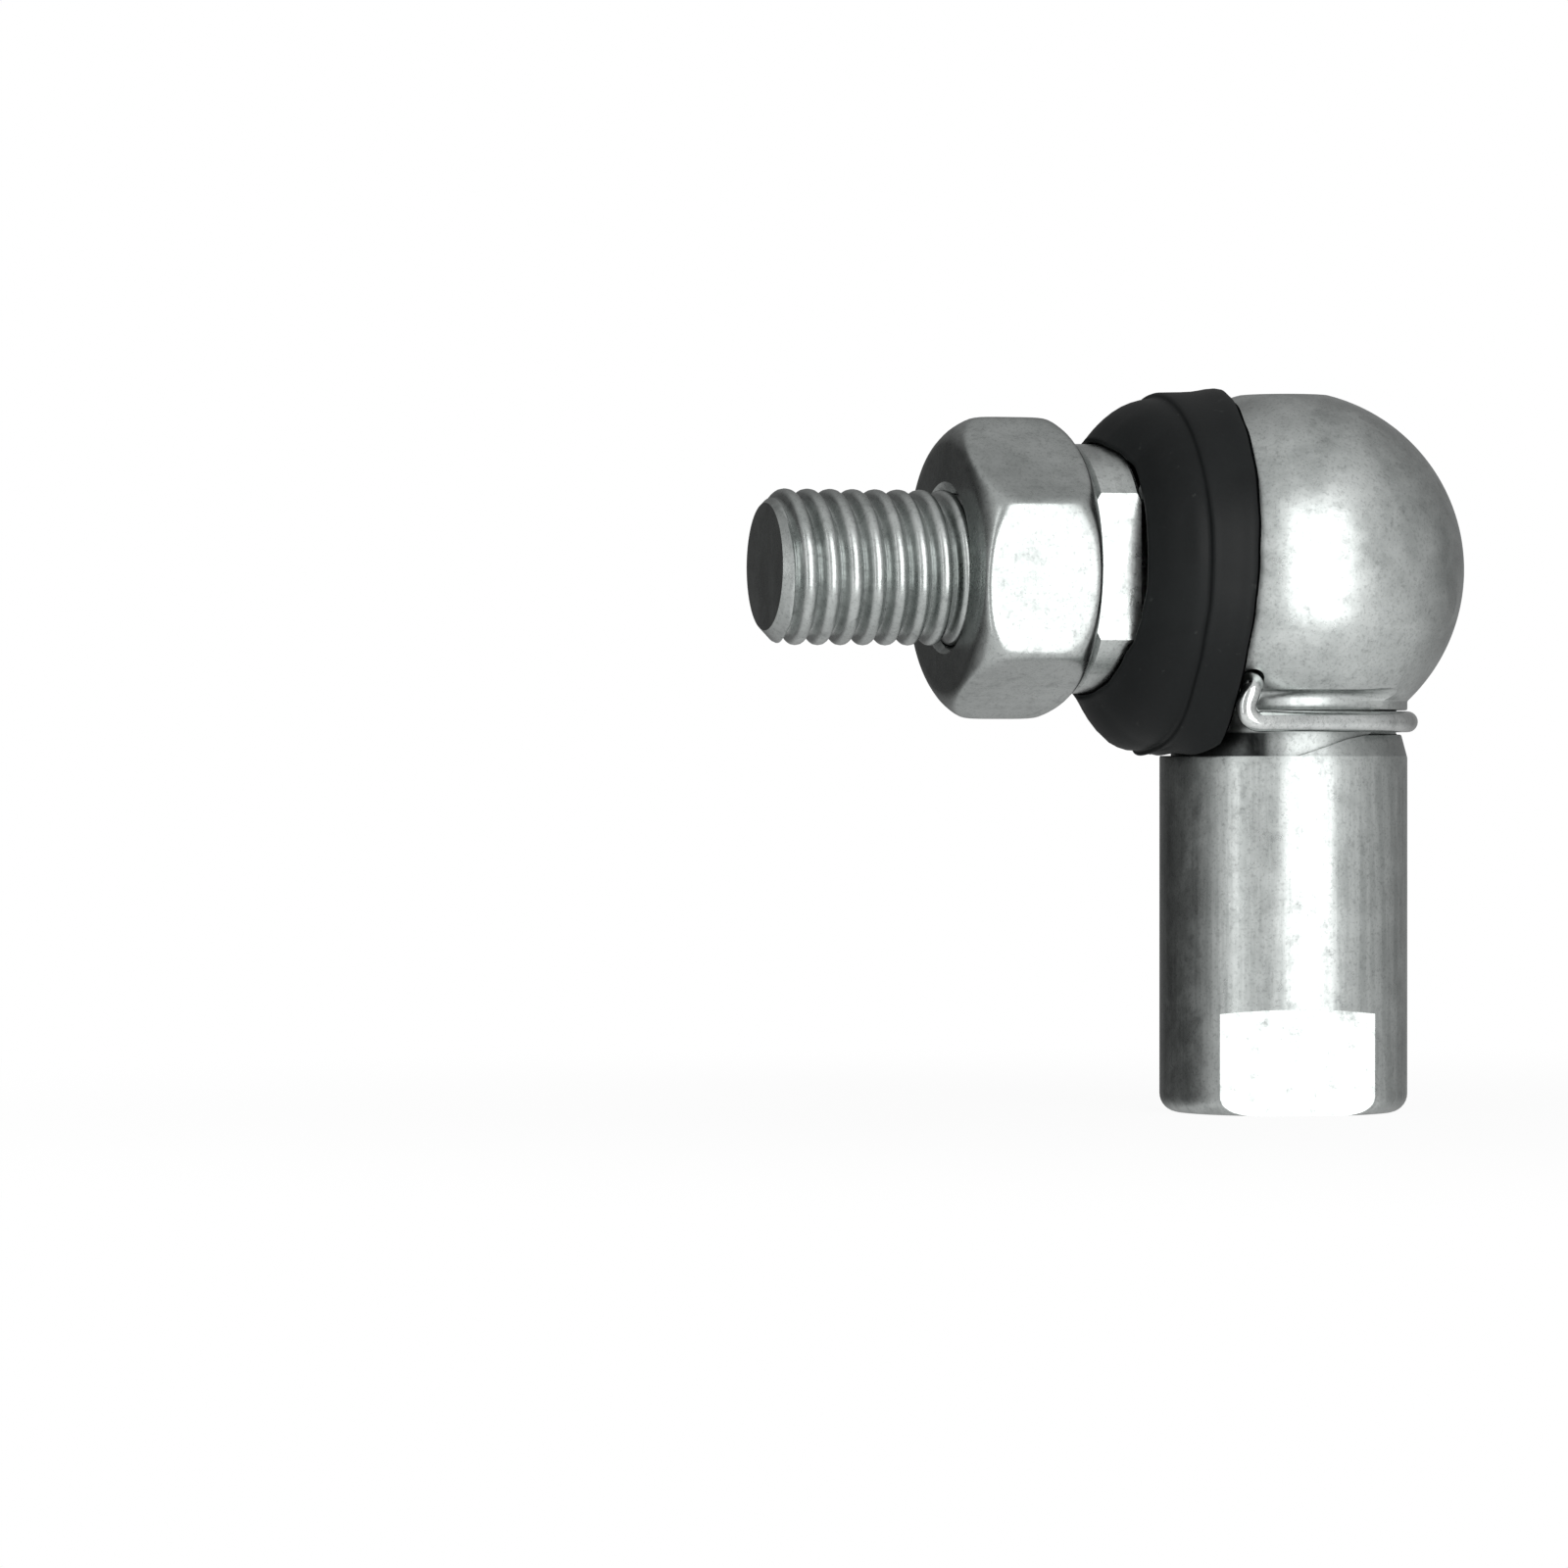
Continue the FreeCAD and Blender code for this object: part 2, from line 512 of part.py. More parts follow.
def sealing_boot():
    """Rubber boot from the back of the head's mouth to the collar, cut away over clip and neck."""
    body = new_body("sealing_boot")
    body.setExpression("Placement.Base.z", "sizes.neck_reach")
    inside = f"({BELT_RADIUS} - sizes.boot_wall)"
    back_inside = f"sqrt({BOOT_SEAT} ^ 2 - sizes.boot_back ^ 2)"
    dome_back = f"({BELT_FRONT} + sizes.crease_width)"
    form = new_sketch(body, "boot_profile", "XZ_Plane")
    outline(form, [
        (f"~sqrt({BOOT_SEAT} ^ 2 - {inside} ^ 2)", inside),
        (dome_back, inside, Arc(radius="sizes.dome_round", clockwise=True)),
        ("sizes.collar_start + sizes.collar_bevel", BOOT_BORE),
        (BOOT_FRONT, BOOT_BORE),
        (BOOT_FRONT, f"{BOOT_BORE} + sizes.lip_width", Arc(radius="sizes.dome_round")),
        (dome_back, f"{BELT_RADIUS} - sizes.crease_depth"),
        (BELT_FRONT, BELT_RADIUS),
        ("sizes.boot_back + sizes.bead_place", f"{HEAD_RADIUS} + sizes.bead_rise"),
        ("sizes.boot_back", f"{back_inside} + sizes.boot_edge"),
        ("sizes.boot_back", f"~{back_inside}", Arc(centre=("0", "0"), radius=BOOT_SEAT, clockwise=True)),
    ])
    feature(body, "Revolution", "moulded_form", form, ReferenceAxis=(form, ["H_Axis"]), Angle=360)

    notch = new_sketch(body, "clip_notch_profile", "XZ_Plane")
    floor = f"(-2 * {HEAD_RADIUS})"
    notch_front = f"({WIRE_FRONT} + {WIRE_CLEAR})"
    notch_top = f"({WIRE_CLEAR} - {WIRE_DROP})"
    outline(notch, [
        ("0", floor),
        (notch_front, floor),
        (notch_front, notch_top),
        ("0", notch_top),
    ])
    cut_through(body, "clip_notch", notch)

    scallop = new_sketch(body, "neck_scallop_profile", "XY_Plane", z=f"-{SKIRT_DROP} + sizes.neck_clearance")
    circle_at(scallop, "0", "0", "sizes.neck_radius + sizes.neck_clearance")
    cut_through(body, "neck_scallop", scallop, both_ways=False)
    return body


def bent_line(points, bend):
    """Edges of a line through the points, with its corners rounded."""
    edges = []
    start = points[0]
    for before, corner, after in zip(points, points[1:], points[2:]):
        back = (before - corner).normalize()
        on = (after - corner).normalize()
        half_turn = (math.pi - back.getAngle(on)) / 2
        trim = bend * math.tan(half_turn)
        entry, exit_point = corner + back * trim, corner + on * trim
        crown = corner + (back + on).normalize() * (bend / math.cos(half_turn) - bend)
        edges.append(Part.LineSegment(start, entry).toShape())
        edges.append(Part.Arc(entry, crown, exit_point).toShape())
        start = exit_point
    edges.append(Part.LineSegment(start, points[-1]).toShape())
    return edges


def retaining_clip():
    """One bent wire: hook, straight leg through the head, and a wrap round the waist."""
    section = doc.addObject("Part::Circle", "clip_section")
    section.setExpression("Radius", "sizes.wire_radius")
    front, drop, level, wrap = (
        worked_out(section, text) for text in (WIRE_FRONT, WIRE_DROP, WRAP_DROP, WRAP_RADIUS))
    reach, stand, hook, length, bend, end_angle = (
        worked_out(section, f"sizes.{alias}")
        for alias in ("neck_reach", "wire_stand", "hook_stand", "hook_length", "wire_bend", "wrap_end"))
    leg_height, wrap_height = reach - drop, reach - level
    turn = FreeCAD.Vector(-front, -stand, wrap_height)
    outside = math.hypot(front, stand)
    touch_angle = math.atan2(-stand, -front) + math.acos(wrap / outside)

    def round_neck(angle):
        return FreeCAD.Vector(wrap * math.cos(angle), wrap * math.sin(angle), wrap_height)

    touch = round_neck(touch_angle)
    last_angle = math.radians(end_angle)
    edges = bent_line([
        FreeCAD.Vector(-front, hook, leg_height - length),
        FreeCAD.Vector(-front, hook, leg_height),
        FreeCAD.Vector(-front, -stand, leg_height),
        turn,
        touch,
    ], bend)
    middle = round_neck((touch_angle + last_angle) / 2)
    edges.append(Part.Arc(touch, middle, round_neck(last_angle)).toShape())
    line = doc.addObject("Part::Feature", "clip_line")
    line.Shape = Part.Wire(edges)
    section.Placement = FreeCAD.Placement(FreeCAD.Vector(-front, hook, leg_height - length), FreeCAD.Rotation())
    clip = doc.addObject("Part::Sweep", "retaining_clip")
    clip.Label = "retaining_clip"
    clip.Sections = [section]
    clip.Spine = (line, [f"Edge{number}" for number in range(1, len(edges) + 1)])
    clip.Solid = True
    return clip


PARTS = [socket_housing(), ball_stud(), hex_nut(), retaining_clip(), sealing_boot()]
doc.recompute()

for item in doc.Objects:
    if "Invalid" in item.State or "Error" in item.State:
        raise RuntimeError(f"{item.Name} failed: {item.State}")
for part in PARTS:
    if part.Shape.isNull() or not part.Shape.isValid():
        raise RuntimeError(f"{part.Label} has no sound shape")

os.makedirs("parts", exist_ok=True)
for part in PARTS:
    part.Shape.exportStep(f"parts/{part.Label}.step")
    print(part.Label, len(part.Shape.Solids), round(part.Shape.Volume, 2))
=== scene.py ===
import math

import bmesh
import bpy
from mathutils import Matrix, Vector


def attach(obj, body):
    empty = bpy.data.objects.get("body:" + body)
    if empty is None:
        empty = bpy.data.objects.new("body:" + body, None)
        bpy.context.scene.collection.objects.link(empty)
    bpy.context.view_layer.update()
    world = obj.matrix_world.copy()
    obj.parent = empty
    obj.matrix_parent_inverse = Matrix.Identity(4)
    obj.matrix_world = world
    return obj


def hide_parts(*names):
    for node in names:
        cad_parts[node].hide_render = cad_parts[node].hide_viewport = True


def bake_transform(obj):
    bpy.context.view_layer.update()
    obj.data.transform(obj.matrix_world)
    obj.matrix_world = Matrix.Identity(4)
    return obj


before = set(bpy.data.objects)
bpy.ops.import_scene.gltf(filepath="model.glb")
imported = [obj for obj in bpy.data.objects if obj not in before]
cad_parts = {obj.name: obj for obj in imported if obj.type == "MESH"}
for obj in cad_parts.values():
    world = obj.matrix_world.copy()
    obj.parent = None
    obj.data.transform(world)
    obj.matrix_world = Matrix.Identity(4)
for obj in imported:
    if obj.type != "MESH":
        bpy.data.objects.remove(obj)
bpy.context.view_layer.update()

# Sizes of the joint, in millimetres. A drop is counted down from the ball's centre, and a place
# along the stud from that centre towards the stud's end.
BALL = Vector((0, 0, 35))
BALL_RADIUS = 8.0
SOCKET_RADIUS = 8.05
HEAD_RADIUS = 11.65
CROWN_HEIGHT = 11.28
SEAT_RADIUS = 11.67
SKIRT_DROP = 9.05
WAIST_RADIUS = 7.275
SHOULDER_DROP = 10.625
NECK_RADIUS = 8.0
NECK_BEVEL = (0.4, 1.5)
FLAT_DEPTH = 6.25
FLAT_TURN = 12
DRILL_RADIUS = 4.25
SHANK_RADIUS = 4.5
COLLAR_START = 12.0
COLLAR_END = 15.0
COLLAR_RADIUS = 8.0
COLLAR_BEVEL = 0.3
COLLAR_KEY = 13.0
STUD_END = 35.0
PITCH = 1.5
THREAD_ROOT = 4.2
THREAD_CREST = 4.97
NUT_START = 15.05
NUT_END = 23.05
NUT_KEY = 17.0
NUT_TURN = 6.2
WIRE_RADIUS = 0.675
WIRE_PLAY = 0.075
WIRE_BEND = 0.95
HOOK_REACH = 9.4
HOOK_LENGTH = 3.6
LEG_FRONT = 5.062
LEG_DROP = 7.229
STEM_REACH = 8.6
STEM_LEAN = 1.15
WRAP_DROP = 9.8
WRAP_RADIUS = 8.0
WRAP_TURN = 75

# Steps of a full turn
ROUND = 192
TURN_STEPS = 60

# From one root of the thread to the next: share of the pitch, share of the depth
THREAD_FORM = [
    (0.0, 0.0), (0.05, 0.06), (0.12, 0.3), (0.2, 0.62), (0.28, 0.84), (0.36, 0.95), (0.5, 1.0),
    (0.64, 0.95), (0.72, 0.84), (0.8, 0.62), (0.88, 0.3), (0.95, 0.06), (1.0, 0.0),
]

# From the nut's end face inwards: depth, radius
NUT_CORNER = [
    (0, 7.9), (0.06, 8.1), (0.12, 8.24), (0.2, 8.4), (0.3, 8.56), (0.4, 8.72), (0.52, 8.88),
    (0.65, 9.02), (0.8, 9.16), (0.95, 9.29), (1.15, 9.44), (1.4, 9.6), (1.7, 9.74),
    (2.07, 9.86), (2.5, 9.94), (3.1, 10.0),
]

# Boot's outline: place along the stud, radius
BOOT_BEAD = [
    (4.85, 11.63), (5.15, 11.68), (5.5, 11.64), (5.9, 11.55), (6.4, 11.46), (7.1, 11.41),
    (7.8, 11.39), (8.35, 11.37), (8.5, 11.31), (8.57, 11.18), (8.62, 11.06), (8.72, 10.98),
]
BOOT_DOME = [
    (8.95, 10.95), (9.4, 10.9), (10.0, 10.75), (10.6, 10.52), (11.2, 10.2), (11.8, 9.8),
    (12.3, 9.4), (12.7, 9.02), (13.05, 8.68), (13.25, 8.5), (13.36, 8.4), (13.4, 8.28),
    (13.36, 8.16), (13.25, 8.1),
]
BOOT_INSIDE = [
    (12.8, 8.1), (12.4, 8.12), (12.0, 8.45), (11.4, 9.0), (10.8, 9.4), (10.2, 9.7),
    (9.6, 9.9), (9.0, 10.0), (8.0, 10.05), (7.0, 10.05), (6.09, 10.05),
]

# Where the boot's rim, crease and lip wander to: degrees round from the top, place along the stud
BOOT_RIM = [
    (0, 4.15), (20, 4.65), (37, 5.0), (55, 5.25), (73, 5.5), (87, 5.7), (105, 5.88), (119, 6.06),
    (135, 6.12), (155, 6.2), (180, 6.2),
]
BOOT_CREASE = [
    (0, 9.0), (40, 8.92), (75, 8.9), (100, 8.98), (117, 9.15), (133, 9.3), (180, 9.45),
]
BOOT_LIP = [
    (0, 13.4), (15, 13.1), (30, 12.4), (39, 12.0), (56, 12.05), (79, 12.15), (97, 12.2), (113, 12.4),
    (123, 12.6), (134, 13.0), (150, 13.25), (165, 13.6), (180, 13.95),
]


def smooth_step(low, high, value):
    t = min(max((value - low) / (high - low), 0), 1)
    return t * t * (3 - 2 * t)


def marked(marks, place):
    """The height of a smooth curve through marks, each a place and its height."""
    for (low, first), (high, second) in zip(marks, marks[1:]):
        if place <= high:
            return first + (second - first) * smooth_step(low, high, place)
    return marks[-1][1]


def along_stud(s, r):
    """A point at s along the stud and r from its axis, drawn above the axis."""
    return (-s, BALL.z + r)


# Drawing and turning

class Drawing:
    """A line drawn in the XZ plane, in lines and arcs, that is then turned or extruded."""

    def __init__(self, x, z):
        self.mesh = bmesh.new()
        self.tip = self.mesh.verts.new((x, 0, z))

    def line(self, *points):
        for x, z in points:
            grown = bmesh.ops.extrude_vert_indiv(self.mesh, verts=[self.tip])
            self.tip = grown["verts"][0]
            self.tip.co = (x, 0, z)
        return self

    def arc(self, centre, degrees, steps):
        """Goes on round a centre, anticlockwise as seen with X right and Z up."""
        spun = bmesh.ops.spin(
            self.mesh, geom=[self.tip], cent=(centre[0], 0, centre[1]), axis=(0, -1, 0),
            dvec=(0, 0, 0), angle=math.radians(degrees), steps=steps, use_merge=False)
        self.tip = next(item for item in spun["geom_last"] if isinstance(item, bmesh.types.BMVert))
        return self

    def turned(self, centre, axis, steps=ROUND):
        """The solid that the line makes when it is turned right round."""
        bmesh.ops.spin(
            self.mesh, geom=self.mesh.verts[:] + self.mesh.edges[:], cent=centre, axis=axis,
            dvec=(0, 0, 0), angle=2 * math.pi, steps=steps, use_merge=True)
        return closed(self.mesh)

    def extruded(self, move):
        """The solid that the closed line makes when its face is drawn out."""
        bmesh.ops.remove_doubles(self.mesh, verts=self.mesh.verts, dist=1e-5)
        face = bmesh.ops.contextual_create(self.mesh, geom=self.mesh.edges[:])["faces"]
        drawn = bmesh.ops.extrude_face_region(self.mesh, geom=face, use_keep_orig=True)
        verts = [item for item in drawn["geom"] if isinstance(item, bmesh.types.BMVert)]
        bmesh.ops.translate(self.mesh, verts=verts, vec=move)
        return closed(self.mesh)


class Pipe:
    """A round wire that is drawn out straight or bent, one step after another."""

    def __init__(self, start, heading, radius, sides=24):
        self.mesh = bmesh.new()
        self.place = Vector(start)
        self.heading = Vector(heading).normalized()
        turn = self.heading.to_track_quat("Z", "Y").to_matrix().to_4x4()
        made = bmesh.ops.create_circle(
            self.mesh, segments=sides, radius=radius, matrix=Matrix.Translation(self.place) @ turn)
        self.ring = list({edge for vert in made["verts"] for edge in vert.link_edges})
        self.first = self.ring

    def straight(self, length):
        grown = bmesh.ops.extrude_edge_only(self.mesh, edges=self.ring)["geom"]
        verts = [item for item in grown if isinstance(item, bmesh.types.BMVert)]
        bmesh.ops.translate(self.mesh, verts=verts, vec=self.heading * length)
        self.ring = [item for item in grown if isinstance(item, bmesh.types.BMEdge)]
        self.place = self.place + self.heading * length
        return self

    def bend(self, axis, degrees, radius, steps=10):
        """Bends round an axis, to the left as seen with that axis towards the eye."""
        axis = Vector(axis).normalized()
        centre = self.place + axis.cross(self.heading) * radius
        angle = math.radians(degrees)
        spun = bmesh.ops.spin(
            self.mesh, geom=self.ring, cent=centre, axis=axis, dvec=(0, 0, 0), angle=angle,
            steps=steps, use_merge=False)["geom_last"]
        self.ring = [item for item in spun if isinstance(item, bmesh.types.BMEdge)]
        turn = Matrix.Rotation(angle, 3, axis)
        self.place = centre + turn @ (self.place - centre)
        self.heading = turn @ self.heading
        return self

    def capped(self, edge=0.0):
        """The solid wire, its two ends closed and, if asked, rounded at their edges."""
        for ring in (self.first, self.ring):
            bmesh.ops.contextual_create(self.mesh, geom=ring)
        if edge:
            bmesh.ops.bevel(
                self.mesh, geom=self.first + self.ring, offset=edge, offset_type="OFFSET",
                segments=3, profile=0.5, affect="EDGES", material=-1)
        return closed(self.mesh)


def closed(mesh):
    """Joins what meets and turns every face outwards."""
    bmesh.ops.remove_doubles(mesh, verts=mesh.verts, dist=1e-4)
    bmesh.ops.recalc_face_normals(mesh, faces=mesh.faces)
    return mesh


def softened(mesh, width):
    """Breaks every sharp edge of a mesh."""
    sharp = math.radians(25)
    edges = [edge for edge in mesh.edges if len(edge.link_faces) == 2 and edge.calc_face_angle() > sharp]
    bmesh.ops.bevel(
        mesh, geom=edges, offset=width, offset_type="OFFSET", segments=2, profile=0.5,
        affect="EDGES", material=-1)
    return mesh


def threaded_rod(root, crest, start, end, limit):
    """A right-hand threaded rod along -X through the ball's centre. limit(s, r) trims its radius."""
    first = math.floor(start / PITCH) - 1
    turns = math.ceil((end - start) / PITCH) + 3
    form = [along_stud((first + share) * PITCH, root + (crest - root) * depth)
            for share, depth in THREAD_FORM]
    mesh = Drawing(*form[0]).line(*form[1:]).mesh
    bmesh.ops.spin(
        mesh, geom=mesh.verts[:] + mesh.edges[:], cent=BALL, axis=(-1, 0, 0),
        dvec=(-PITCH / TURN_STEPS, 0, 0), angle=2 * math.pi * turns,
        steps=TURN_STEPS * turns, use_merge=False)
    bmesh.ops.remove_doubles(mesh, verts=mesh.verts, dist=1e-4)
    for place, side in ((start, 1), (end, -1)):
        bmesh.ops.bisect_plane(
            mesh, geom=mesh.verts[:] + mesh.edges[:] + mesh.faces[:], dist=1e-5,
            plane_co=(-place, 0, 0), plane_no=(side, 0, 0), clear_outer=True)
    for vert in mesh.verts:
        across = Vector((0, vert.co.y, vert.co.z - BALL.z))
        wanted = limit(-vert.co.x, across.length)
        across *= wanted / across.length
        vert.co = (vert.co.x, across.y, BALL.z + across.z)
    for place in (start, end):
        rim = [edge for edge in mesh.edges if edge.is_boundary
               and all(abs(vert.co.x + place) < 1e-3 for vert in edge.verts)]
        bmesh.ops.contextual_create(mesh, geom=rim)
    bmesh.ops.triangulate(mesh, faces=[face for face in mesh.faces if len(face.verts) > 8])
    return closed(mesh)


# Objects

def as_object(name, mesh):
    data = bpy.data.meshes.new(name)
    mesh.to_mesh(data)
    mesh.free()
    made = bpy.data.objects.new(name, data)
    bpy.context.scene.collection.objects.link(made)
    return made


def combined(piece, tool, operation="DIFFERENCE"):
    """Cuts a piece with a tool, or joins them, and leaves the tool out of the scene."""
    cutter = as_object("tool", tool)
    change = piece.modifiers.new("change", "BOOLEAN")
    change.operation = operation
    change.solver = "EXACT"
    change.object = cutter
    bpy.context.view_layer.update()
    result = bpy.data.meshes.new_from_object(piece.evaluated_get(bpy.context.evaluated_depsgraph_get()))
    piece.modifiers.clear()
    piece.data = result
    bpy.data.objects.remove(cutter)
    return piece


def finished(piece, material, sharp=32):
    """Brings a piece from millimetres to metres, smooths its round faces and paints it."""
    mesh = bmesh.new()
    mesh.from_mesh(piece.data)
    bmesh.ops.scale(mesh, vec=(0.001, 0.001, 0.001), verts=mesh.verts)
    mesh.to_mesh(piece.data)
    mesh.free()
    piece.data.shade_smooth()
    piece.data.set_sharp_from_angle(angle=math.radians(sharp))
    piece.data.materials.clear()
    piece.data.materials.append(material)
    return piece


# Housing

def housing_blank():
    """Head, skirt, waist, shoulder and neck, turned in one go."""
    shoulder = BALL.z - SHOULDER_DROP
    skirt = BALL.z - SKIRT_DROP
    skirt_turn = math.acos(NECK_RADIUS / HEAD_RADIUS)
    crown_turn = math.asin(CROWN_HEIGHT / HEAD_RADIUS)
    bevel_width, bevel_height = NECK_BEVEL
    end_round, broken_edge = 1.2, 0.09
    form = Drawing(0, 0).line((NECK_RADIUS - end_round, 0))
    form.arc((NECK_RADIUS - end_round, end_round), 90, 8)
    form.line((NECK_RADIUS, shoulder - bevel_height), (NECK_RADIUS - bevel_width, shoulder))
    form.line((WAIST_RADIUS, shoulder), (WAIST_RADIUS, skirt), (NECK_RADIUS, skirt))
    form.line((NECK_RADIUS, BALL.z - HEAD_RADIUS * math.sin(skirt_turn)))
    form.arc((0, BALL.z), math.degrees(skirt_turn + crown_turn), 80)
    form.line((0, BALL.z + CROWN_HEIGHT))
    return as_object("housing", softened(form.turned((0, 0, 0), (0, 0, 1)), broken_edge))


def cut_socket(body):
    """The ball's socket, with a bevelled mouth towards the stud."""
    mouth, mouth_radius, beyond = 7.6, 9.3, 13
    bevel = 0.4
    bore = Drawing(*along_stud(-SOCKET_RADIUS, 0)).arc((0, BALL.z), -90, 32)
    bore.line(along_stud(mouth - bevel, SOCKET_RADIUS), along_stud(mouth, SOCKET_RADIUS + bevel),
              along_stud(mouth, mouth_radius), along_stud(beyond, mouth_radius), along_stud(beyond, 0))
    combined(body, bore.turned(BALL, (1, 0, 0), 96))


def cut_wire_ways(body):
    """The hole of the wire's leg, and the groove milled for its stem round the near side."""
    far_end, length = 14, 28
    leg = Pipe(BALL + Vector((-LEG_FRONT, far_end, -LEG_DROP)), (0, -1, 0), WIRE_RADIUS + WIRE_PLAY)
    combined(body, leg.straight(length).capped())

    path, drop, radius = 8.25, 8.5, 0.85
    turn, swept, run_out = math.radians(-80), 90, 5
    start = BALL + Vector((path * math.sin(turn), -path * math.cos(turn), -drop))
    groove = Pipe(start, (math.cos(turn), math.sin(turn), 0), radius)
    combined(body, groove.bend((0, 0, 1), swept, path, 48).straight(run_out).capped())


def lower_shoulder(body):
    """Mills the shoulder down under the boot as far in as the waist, with a slope up to its back."""
    front, back, half_width = -9, 3.6, 12
    top, bottom = BALL.z - 9.9, BALL.z - 12.0
    side = Drawing(front, bottom).line((-1.8, bottom), (1.5, BALL.z - 10.95), (back, BALL.z - 10.57))
    side.line((back, top), (front, top), (front, bottom))
    block = side.extruded((0, 2 * half_width, 0))
    bmesh.ops.translate(block, verts=block.verts, vec=(0, -half_width, 0))

    low, high = BALL.z - 13, BALL.z - 9
    waist = Drawing(0, low).line((WAIST_RADIUS, low), (WAIST_RADIUS, high), (0, high))
    cutter = combined(as_object("cutter", block), waist.turned((0, 0, 0), (0, 0, 1)))
    milled = bmesh.new()
    milled.from_mesh(cutter.data)
    bpy.data.objects.remove(cutter)
    combined(body, milled)


def cut_boot_seat(body):
    """Takes the skirt back to the head's round where the boot sits."""
    front, back, reach = 8, 5.737, 10.6
    seat = Drawing(*along_stud(back, math.sqrt(SEAT_RADIUS ** 2 - back ** 2)))
    seat.line(along_stud(back, reach), along_stud(front, reach))
    seat.line(along_stud(front, math.sqrt(SEAT_RADIUS ** 2 - front ** 2)))
    seat.arc((0, BALL.z), math.degrees(math.acos(front / SEAT_RADIUS) - math.acos(back / SEAT_RADIUS)), 8)
    combined(body, seat.turned(BALL, (1, 0, 0), 144))


def cut_flats(body):
    """Two wrench flats, each with the arch that its cutter leaves."""
    half_width, bottom, top = 9, -1.2, 6.85
    arch = 37.0
    spring = top - arch + math.sqrt(arch ** 2 - half_width ** 2)
    for side in (0, 180):
        flat = Drawing(-half_width, bottom).line((half_width, bottom), (half_width, spring))
        flat.arc((0, top - arch), 2 * math.degrees(math.asin(half_width / arch)), 24)
        cutter = flat.line((-half_width, bottom)).extruded((0, -4, 0))
        bmesh.ops.translate(cutter, verts=cutter.verts, vec=(0, -FLAT_DEPTH, 0))
        bmesh.ops.rotate(cutter, verts=cutter.verts, cent=(0, 0, 0),
                         matrix=Matrix.Rotation(math.radians(side - FLAT_TURN), 3, "Z"))
        combined(body, cutter)


def cut_neck_thread(body):
    """The drilled hole, and its thread with a bevelled mouth."""
    below, drill_depth, drill_tip = -1, 20, 22.55
    drill = Drawing(0, below).line((DRILL_RADIUS, below), (DRILL_RADIUS, drill_depth), (0, drill_tip))
    combined(body, drill.turned((0, 0, 0), (0, 0, 1), 96))

    thread_crest, thread_depth, run_out, mouth_radius = 5.05, 16.5, 2, 5.65

    def trimmed(s, r):
        fading = 1 - 0.18 * smooth_step(thread_depth - run_out, thread_depth, s)
        return max(r * fading, mouth_radius - s)

    tap = threaded_rod(THREAD_ROOT, thread_crest, -1.0, thread_depth, trimmed)
    bmesh.ops.translate(tap, verts=tap.verts, vec=-BALL)
    bmesh.ops.rotate(tap, verts=tap.verts, cent=(0, 0, 0), matrix=Matrix.Rotation(math.radians(90), 3, "Y"))
    combined(body, tap)


def housing_piece():
    """Head, waist, shoulder and neck, with the socket, the wire's ways, the flats and the thread."""
    body = housing_blank()
    cut_socket(body)
    cut_wire_ways(body)
    lower_shoulder(body)
    cut_boot_seat(body)
    cut_flats(body)
    cut_neck_thread(body)
    return body


# Stud, nut, clip and boot

def stud_piece():
    """Ball, shank, collar with two flats, and the threaded end."""
    shank_turn = math.degrees(math.asin(SHANK_RADIUS / BALL_RADIUS))
    shank_start = math.sqrt(BALL_RADIUS ** 2 - SHANK_RADIUS ** 2) + 0.05
    beveled = COLLAR_RADIUS - COLLAR_BEVEL
    form = Drawing(*along_stud(-BALL_RADIUS, 0)).arc((0, BALL.z), 180 - shank_turn, 64)
    form.line(along_stud(shank_start, SHANK_RADIUS), along_stud(COLLAR_START, SHANK_RADIUS))
    form.line(along_stud(COLLAR_START, beveled), along_stud(COLLAR_START + COLLAR_BEVEL, COLLAR_RADIUS))
    form.line(along_stud(COLLAR_END - COLLAR_BEVEL, COLLAR_RADIUS), along_stud(COLLAR_END, beveled))
    # A short stump, sunk in the threaded end
    stump = COLLAR_END + 0.4
    form.line(along_stud(COLLAR_END, 4.3), along_stud(stump, 4.0), along_stud(stump, 0))
    body = as_object("stud", form.turned(BALL, (1, 0, 0), 128))

    block_length, block_width, block_height = 5, 4, 20
    for side in (1, -1):
        block = bmesh.new()
        bmesh.ops.create_cube(block, size=1)
        bmesh.ops.scale(block, verts=block.verts, vec=(block_length, block_width, block_height))
        bmesh.ops.translate(block, verts=block.verts,
                            vec=(-13.3, side * (COLLAR_KEY + block_width) / 2, BALL.z))
        combined(body, block)

    end_radius = 4.05
    rod = threaded_rod(THREAD_ROOT, THREAD_CREST, COLLAR_END - 0.2, STUD_END,
                       lambda s, r: min(r, end_radius + max(STUD_END - s, 0)))
    return combined(body, rod, "UNION")


